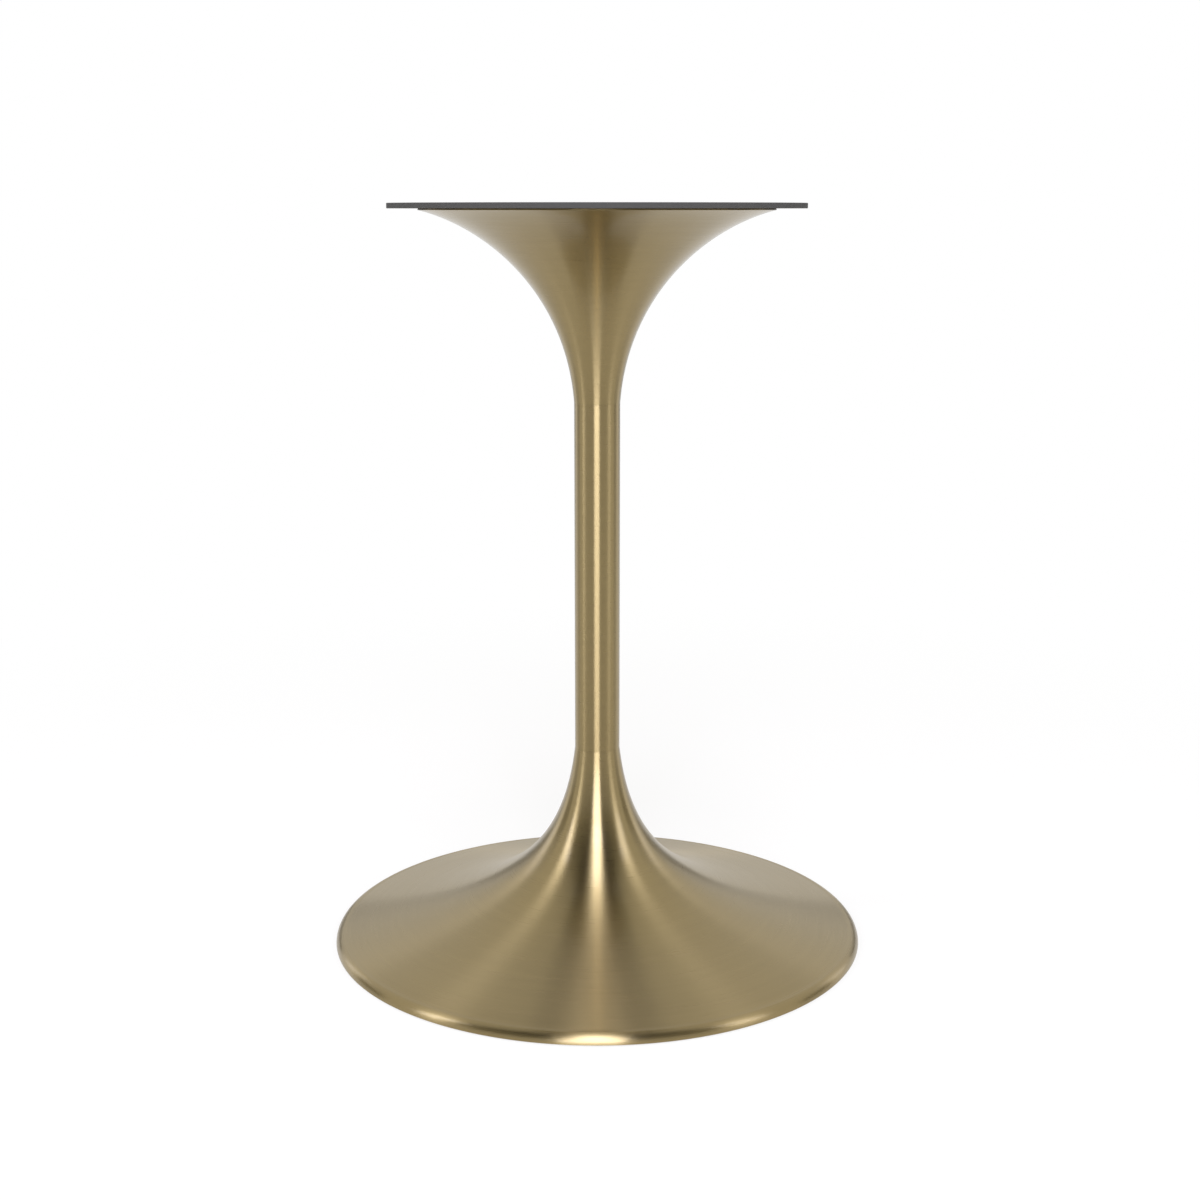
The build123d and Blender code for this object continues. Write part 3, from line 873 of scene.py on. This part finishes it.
def thread_group():
    """Threaded stretch of a rod, from its plain end to its free end."""
    labels = ("Plain end", "Free end", "Radius", "Depth", "Pitch", "Chamfer")
    inputs = [(label, "NodeSocketFloat", 0.0) for label in labels]
    inputs.append(("Rows", "NodeSocketInt", 1))
    outputs = [("Surface", "NodeSocketGeometry")]
    tree, given, result = open_tree("threaded_stretch", "GeometryNodeTree", inputs, outputs)
    low = maths(tree, "MINIMUM", given["Plain end"], given["Free end"])
    high = maths(tree, "MAXIMUM", given["Plain end"], given["Free end"])
    foot_point = add_node(tree, "ShaderNodeCombineXYZ", {"X": given["Radius"], "Z": low})
    head_point = add_node(tree, "ShaderNodeCombineXYZ", {"X": given["Radius"], "Z": high})
    ends = {"Start": foot_point.outputs[0], "End": head_point.outputs[0]}
    line = add_node(tree, "GeometryNodeCurvePrimitiveLine", ends, mode="POINTS")
    tube = turn_line(tree, line.outputs[0], AROUND_ROD, given["Rows"])
    place = add_node(tree, "GeometryNodeInputPosition").outputs[0]
    across, away, height = add_node(tree, "ShaderNodeSeparateXYZ", {0: place}).outputs
    turned = maths(tree, "DIVIDE", maths(tree, "ARCTAN2", away, across), math.tau)
    climbed = maths(tree, "SUBTRACT", maths(tree, "DIVIDE", height, given["Pitch"]), turned)
    groove = maths(tree, "MULTIPLY", maths(tree, "PINGPONG", climbed, 0.5), 2.0)
    from_plain = maths(tree, "ABSOLUTE", maths(tree, "SUBTRACT", height, given["Plain end"]))
    run_out = maths(tree, "MINIMUM", maths(tree, "DIVIDE", from_plain, given["Pitch"]), 1.0)
    cut = maths(tree, "MULTIPLY", maths(tree, "MULTIPLY", groove, run_out), given["Depth"])
    from_free = maths(tree, "ABSOLUTE", maths(tree, "SUBTRACT", height, given["Free end"]))
    end_radius = maths(tree, "SUBTRACT", given["Radius"], given["Chamfer"])
    chamfered = maths(tree, "ADD", end_radius, from_free)
    radius = maths(tree, "MINIMUM", maths(tree, "SUBTRACT", given["Radius"], cut), chamfered)
    share = maths(tree, "DIVIDE", radius, given["Radius"])
    bent = add_node(
        tree,
        "ShaderNodeCombineXYZ",
        {
            "X": maths(tree, "MULTIPLY", across, share),
            "Y": maths(tree, "MULTIPLY", away, share),
            "Z": height,
        },
    )
    moved = add_node(tree, "GeometryNodeSetPosition", {"Geometry": tube, "Position": bent.outputs[0]})
    feed(tree, result["Surface"], moved.outputs[0])
    return tree


threaded_stretch = thread_group()
print("group", threaded_stretch.name, "made")

# %% Geometry tree: the tie rod


def rod_tree():
    """Rod with a plain middle, a thread at each end and flat end faces."""
    labels = ("Bottom", "Top", "Radius", "Thread depth", "Pitch", "Chamfer")
    labels += ("Top thread", "Bottom thread")
    inputs = [(label, "NodeSocketFloat", 0.0) for label in labels]
    inputs += [(label, "NodeSocketInt", 1) for label in ("Top rows", "Bottom rows")]
    inputs.append(("Finish", "NodeSocketMaterial", None))
    outputs = [("Rod", "NodeSocketGeometry")]
    tree, given, result = open_tree("tie_rod", "GeometryNodeTree", inputs, outputs)
    bottom, top, radius = given["Bottom"], given["Top"], given["Radius"]
    low_end = maths(tree, "ADD", bottom, given["Bottom thread"])
    high_end = maths(tree, "SUBTRACT", top, given["Top thread"])
    pieces = turned_steps(tree, [(radius, low_end), (radius, high_end)], AROUND_ROD)
    end_ring = ring(tree, maths(tree, "SUBTRACT", radius, given["Chamfer"]), AROUND_ROD)
    for plain_end, free_end, rows in ((low_end, bottom, "Bottom rows"), (high_end, top, "Top rows")):
        sizes = {"Plain end": plain_end, "Free end": free_end, "Radius": radius, "Rows": given[rows]}
        sizes.update({label: given[label] for label in ("Pitch", "Chamfer")})
        sizes["Depth"] = given["Thread depth"]
        stretch = add_node(tree, "GeometryNodeGroup", sizes, node_tree=threaded_stretch)
        pieces.append(stretch.outputs[0])
    pieces.append(flat_face(tree, [end_ring], top))
    pieces.append(flipped(tree, flat_face(tree, [end_ring], bottom)))
    close_up(tree, result["Rod"], pieces, given["Finish"])
    return tree


tie_rod = rod_tree()
print("tree", tie_rod.name, "made")

# %% Threaded tie rod
THREAD_PITCH, THREAD_DEPTH = 1.75 * MM, 0.9 * MM
TOP_THREAD, BOTTOM_THREAD = 40.0 * MM, 30.0 * MM
ROD_CHAMFER = 1.0 * MM
ROWS_PER_PITCH = 8

rod_low, rod_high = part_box("tie_rod")
rod = node_object(
    "threaded_rod",
    tie_rod,
    {
        "Bottom": rod_low[2],
        "Top": rod_high[2],
        "Radius": rod_high[0],
        "Thread depth": THREAD_DEPTH,
        "Pitch": THREAD_PITCH,
        "Chamfer": ROD_CHAMFER,
        "Top thread": TOP_THREAD,
        "Bottom thread": BOTTOM_THREAD,
        "Top rows": round(TOP_THREAD / THREAD_PITCH * ROWS_PER_PITCH),
        "Bottom rows": round(BOTTOM_THREAD / THREAD_PITCH * ROWS_PER_PITCH),
        "Finish": FINISHES["zinc"],
    },
)
settle(rod, FLAT_TO_WALL_DEGREES)
take_place(rod, "tie_rod")

# %% [markdown]
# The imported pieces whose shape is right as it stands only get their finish. Their meshes aren't
# touched: each object's list of materials is emptied, and the finish is put in its first place.

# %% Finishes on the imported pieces
FINISH_OF_NODE = {
    "base_plate": "powder_coat",
    "plate_hub": "turned_steel",
    "base_hub": "turned_steel",
    "core_tube": "drawn_steel",
    "tie_nut": "zinc",
    "tie_washer": "zinc",
    "plate_screws": "zinc",
    "base_screws": "zinc",
    "upper_centring_ring": "ring_plastic",
    "lower_centring_ring": "ring_plastic",
    "glides": "glide_plastic",
}

for node, finish in FINISH_OF_NODE.items():
    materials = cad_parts[node].data.materials
    materials.clear()
    materials.append(FINISHES[finish])
print("finished nodes:", len(FINISH_OF_NODE))

# %% [markdown]
# The floor is pale and runs far out, so that no edge shows. For the camera and for reflections most
# of its brightness is its own white, and the rest is lit, which keeps the soft shadow under the
# foot. Further out the white takes over fully, so that floor and background meet unseen. The lit
# colour is a little warm, which evens out the cool lamps below.

# %% Floor
FLOOR_SIZE = 60.0
FLOOR_COLOUR = (0.95, 0.92, 0.82, 1.0)
WHITE = (1.0, 1.0, 1.0, 1.0)
SHADOW_NEAR, SHADOW_FAR = 0.4, 1.6
OWN_WHITE_NEAR = 0.7


def seen_directly(tree):
    """1 for camera, glossy and transmission rays, 0 for the light that falls on things."""
    rays = add_node(tree, "ShaderNodeLightPath").outputs
    either = maths(tree, "MAXIMUM", rays["Is Camera Ray"], rays["Is Glossy Ray"])
    return maths(tree, "MAXIMUM", either, rays["Is Transmission Ray"])


def bare_tree(owner, output_kind):
    """Emptied node tree of a material or a world, with its new output's Surface."""
    owner.use_nodes = True
    owner.node_tree.nodes.clear()
    return owner.node_tree, add_node(owner.node_tree, output_kind).inputs["Surface"]


def floor_material():
    """Pale floor that keeps a soft shadow near the object and is plain white further out."""
    material = bpy.data.materials.new("pale_floor")
    tree, surface = bare_tree(material, "ShaderNodeOutputMaterial")
    place = add_node(tree, "ShaderNodeTexCoord").outputs["Object"]
    distance = add_node(tree, "ShaderNodeVectorMath", {0: place}, operation="LENGTH").outputs["Value"]
    reach = {"Value": distance, "From Min": SHADOW_NEAR, "From Max": SHADOW_FAR}
    reach.update({"To Min": OWN_WHITE_NEAR, "To Max": 1.0})
    own_white = add_node(tree, "ShaderNodeMapRange", reach, interpolation_type="SMOOTHSTEP")
    share = maths(tree, "MULTIPLY", own_white.outputs["Result"], seen_directly(tree))
    matt = add_node(tree, "ShaderNodeBsdfDiffuse", {"Color": FLOOR_COLOUR})
    glow = add_node(tree, "ShaderNodeEmission", {"Color": WHITE, "Strength": 1.0})
    mix = add_node(tree, "ShaderNodeMixShader", {0: share, 1: matt.outputs[0], 2: glow.outputs[0]})
    tree.links.new(mix.outputs[0], surface)
    return material


def add_floor():
    """Large square floor at height zero."""
    half = FLOOR_SIZE / 2
    mesh = bpy.data.meshes.new("floor")
    corners = [(-half, -half, 0), (half, -half, 0), (half, half, 0), (-half, half, 0)]
    mesh.from_pydata(corners, [], [(0, 1, 2, 3)])
    mesh.materials.append(floor_material())
    item = link(bpy.data.objects.new("floor", mesh))
    return item


add_floor()
print("floor", FLOOR_SIZE, "m wide")

# %% [markdown]
# The world is a soft even studio. What the camera and the reflections see of it is white, and the
# light that it sheds is set apart by its own strength.

# %% World
WORLD_LIGHT = 0.6


def add_world():
    """White to look at, and an even soft light."""
    world = bpy.data.worlds.new("studio")
    tree, surface = bare_tree(world, "ShaderNodeOutputWorld")
    light = add_node(tree, "ShaderNodeBackground", {"Color": WHITE, "Strength": WORLD_LIGHT})
    white = add_node(tree, "ShaderNodeBackground", {"Color": WHITE, "Strength": 1.0})
    sources = {0: seen_directly(tree), 1: light.outputs[0], 2: white.outputs[0]}
    mix = add_node(tree, "ShaderNodeMixShader", sources)
    tree.links.new(mix.outputs[0], surface)
    bpy.context.scene.world = world
    return world


add_world()
bpy.context.scene.view_settings.view_transform = "Standard"
print("world light", WORLD_LIGHT)

# %% [markdown]
# Metal looks like what stands round it, so the studio is built as a ring of lamps and dark flags.
# Each is given by the directions it fills, seen from the object: its azimuth from the camera side,
# its elevation, and how wide and how tall it is, all in degrees. A tall window in front, in three
# panes, draws the bright line up the middle: the low pane on the column, the middle one on the neck
# of the foot and the high one further down. A strip at each side draws the lines near the edges,
# and two weak strips behind shape the column when it is seen from there. All are a cool daylight.

# %% Lamps
STUDIO_RADIUS = 5.0
AIM = Vector((0, 0, 0.35))
WATTS_FOR_UNIT_RADIANCE = 4.0
DAYLIGHT = (0.96, 1.0, 1.28)
# name: (azimuth, elevation, width, height, radiance)
LAMPS = {
    "front_window": (-2.2, 11.0, 25.0, 22.0, 5.8),
    "front_window_middle": (0.5, 35.0, 20.0, 18.0, 7.0),
    "front_window_high": (-1.0, 61.0, 10.0, 30.0, 5.0),
    "left_rear_strip": (-128.0, 16.0, 12.0, 24.0, 0.9),
    "right_rear_strip": (122.0, 16.0, 12.0, 24.0, 0.8),
    "left_strip": (-75.0, 30.0, 10.0, 30.0, 5.0),
    "right_strip": (67.0, 30.0, 15.0, 30.0, 2.6),
}


def studio_place(azimuth, elevation):
    """Point on the studio's sphere, azimuth 0 being the camera side."""
    turn, lift = math.radians(azimuth), math.radians(elevation)
    reach = math.cos(lift)
    outwards = Vector((math.sin(turn) * reach, -math.cos(turn) * reach, math.sin(lift)))
    return AIM + STUDIO_RADIUS * outwards


def span(degrees):
    """Length that fills an angle at the studio's radius."""
    return 2 * STUDIO_RADIUS * math.tan(math.radians(degrees) / 2)


def add_lamp(name, azimuth, elevation, wide, tall, radiance):
    """Area lamp on the studio's sphere, aimed at the object and unseen by the camera."""
    data = bpy.data.lights.new(name, "AREA")
    data.shape = "RECTANGLE"
    data.color = DAYLIGHT
    data.size, data.size_y = span(wide), span(tall)
    data.energy = WATTS_FOR_UNIT_RADIANCE * data.size * data.size_y * radiance
    item = link(bpy.data.objects.new(name, data))
    item.location = studio_place(azimuth, elevation)
    item.rotation_euler = (AIM - item.location).to_track_quat("-Z", "Y").to_euler()
    item.visible_camera = False
    return item


for name, values in LAMPS.items():
    add_lamp(name, *values)
print("lamps:", len(LAMPS))

# %% [markdown]
# In a white room the metal would be white all over. A photographer stands dark flags between the
# lamps, and the metal shows them as the brown bands beside each bright line. The two large ones
# stand in front and reach overhead. The low ones at the sides and behind keep the foot's sides and
# the far side of the column from washing out. Each flag is a patch of a sphere. Only reflections
# see it: it throws no shadow, and the camera looks through it.

# %% Dark flags
FLAG_STEP_DEGREES = 5.0
FLAG_COLOUR = (0.01, 0.01, 0.01, 1.0)
# name: (azimuth from, azimuth to, elevation from, elevation to)
FLAGS = {
    "left_flag": (-68.0, -19.0, 17.0, 90.0),
    "right_flag": (13.0, 57.0, 17.0, 90.0),
    "left_rear_flag": (-161.0, -138.0, -2.0, 8.0),
    "right_rear_flag": (134.0, 161.0, -2.0, 8.0),
    "left_side_flag": (-117.0, -97.0, -2.0, 14.0),
    "right_side_flag": (91.0, 111.0, -2.0, 14.0),
}


def flag_material():
    """Matt black cloth."""
    material = bpy.data.materials.new("flag_cloth")
    tree, surface = bare_tree(material, "ShaderNodeOutputMaterial")
    matt = add_node(tree, "ShaderNodeBsdfDiffuse", {"Color": FLAG_COLOUR})
    tree.links.new(matt.outputs[0], surface)
    return material


def add_flag(name, cloth, left, right, low, high):
    """Dark patch of the studio's sphere that only reflections see."""
    columns = round((right - left) / FLAG_STEP_DEGREES)
    rows = round((high - low) / FLAG_STEP_DEGREES)
    points = [
        studio_place(left + (right - left) * i / columns, low + (high - low) * j / rows)
        for j in range(rows + 1)
        for i in range(columns + 1)
    ]
    row = columns + 1
    corners = [j * row + i for j in range(rows) for i in range(columns)]
    faces = [(corner, corner + 1, corner + row + 1, corner + row) for corner in corners]
    mesh = bpy.data.meshes.new(name)
    mesh.from_pydata(points, [], faces)
    mesh.materials.append(cloth)
    item = link(bpy.data.objects.new(name, mesh))
    for sense in ("camera", "diffuse", "shadow", "transmission", "volume_scatter"):
        setattr(item, "visible_" + sense, False)
    return item


flag_cloth = flag_material()
for name, values in FLAGS.items():
    add_flag(name, flag_cloth, *values)
print("flags:", len(FLAGS))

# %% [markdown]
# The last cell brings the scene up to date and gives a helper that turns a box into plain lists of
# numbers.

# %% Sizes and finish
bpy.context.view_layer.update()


def plain(box):
    """Box as plain lists of numbers."""
    return [[float(value) for value in corner] for corner in box]
